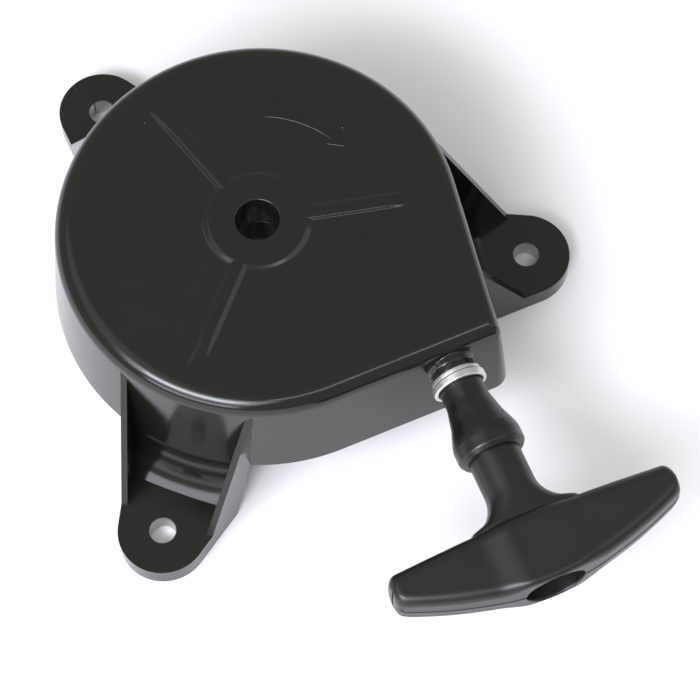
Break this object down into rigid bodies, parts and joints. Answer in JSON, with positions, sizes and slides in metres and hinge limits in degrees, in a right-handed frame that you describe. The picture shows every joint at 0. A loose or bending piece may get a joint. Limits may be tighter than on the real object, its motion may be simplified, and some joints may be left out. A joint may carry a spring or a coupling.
{
  "type": "recoil starter",
  "caption": "Pull-rope starter with a drum housing on legs, a sprung rope reel, a pawl ratchet and a T-handle with a rubber boot.",
  "frame": {"origin": "centre of the three-hole bolt circle on the mounting plane, under the reel's axis", "axes": "+Z along the reel's axis, from the mounting plane towards the closed top; the rope is pulled towards -Y"},
  "size_m": [0.1703, 0.2341, 0.0628],
  "materials": {
    "housing_plastic": "glossy black moulded nylon",
    "grip_plastic": "satin black moulded grip",
    "boot_rubber": "smooth black rubber",
    "eyelet_metal": "turned bright metal",
    "zinc_steel": "bright zinc plate",
    "spring_steel": "oiled blue-grey spring steel",
    "pawl_steel": "pressed steel with pale plating",
    "guide_steel": "black phosphated steel",
    "insert_brass": "turned brass",
    "reel_nylon": "natural white nylon",
    "rope_braid": "braided white nylon rope"
  },
  "bodies": {
    "housing": {"housing": "housing_plastic", "mount_sleeves": "zinc_steel", "rope_eyelet": "eyelet_metal", "post_insert": "insert_brass", "thrust_washer": "zinc_steel", "friction_spring": "spring_steel", "guide_bush": "zinc_steel", "head_washer": "zinc_steel", "centre_screw": "zinc_steel"},
    "reel": {"reel": "reel_nylon", "recoil_spring": "spring_steel", "spring_cover": "zinc_steel", "cover_rivets": "eyelet_metal", "rope_coil": "rope_braid", "reel_knot": "rope_braid", "pawl_pins": "zinc_steel", "pawl_spring_a": "spring_steel", "pawl_spring_b": "spring_steel"},
    "guide": {"ratchet_guide": "guide_steel"},
    "pawl_a": {"pawl_a": "pawl_steel"},
    "pawl_b": {"pawl_b": "pawl_steel"},
    "handle": {"handle_grip": "grip_plastic", "handle_boot": "boot_rubber", "rope_washer": "zinc_steel", "handle_knot": "rope_braid", "rope_lead": "rope_braid"}
  },
  "joints": [
    {"name": "reel_spin", "type": "hinge", "parent": "housing", "child": "reel", "pos_m": [0, 0, 0.05], "axis": [0, 0, -1], "range_deg": [0, 1440], "stiffness_Nm_per_rad": 0.02, "springref_deg": -859.44},
    {"name": "handle_pull", "type": "slide", "parent": "housing", "child": "handle", "axis": [0, -1, 0], "range_m": [0, 0.855], "deforming": ["rope_lead"]},
    {"name": "guide_turn", "type": "hinge", "parent": "reel", "child": "guide", "pos_m": [0, 0, 0.0328], "axis": [0, 0, 1], "range_deg": [0, 30]},
    {"name": "pawl_a_swing", "type": "hinge", "parent": "reel", "child": "pawl_a", "pos_m": [0.022, 0, 0.039], "axis": [0, 0, 1], "range_deg": [0, 35.2]},
    {"name": "pawl_b_swing", "type": "hinge", "parent": "reel", "child": "pawl_b", "pos_m": [-0.022, 0, 0.039], "axis": [0, 0, 1], "range_deg": [0, 35.2]}
  ],
  "couplings": [
    {"joint": "handle_pull", "follows": "reel_spin", "m_per_rad": 0.034},
    {"joint": "pawl_a_swing", "follows": "guide_turn", "ratio": 1.1667},
    {"joint": "pawl_b_swing", "follows": "guide_turn", "ratio": 1.1667}
  ]
}
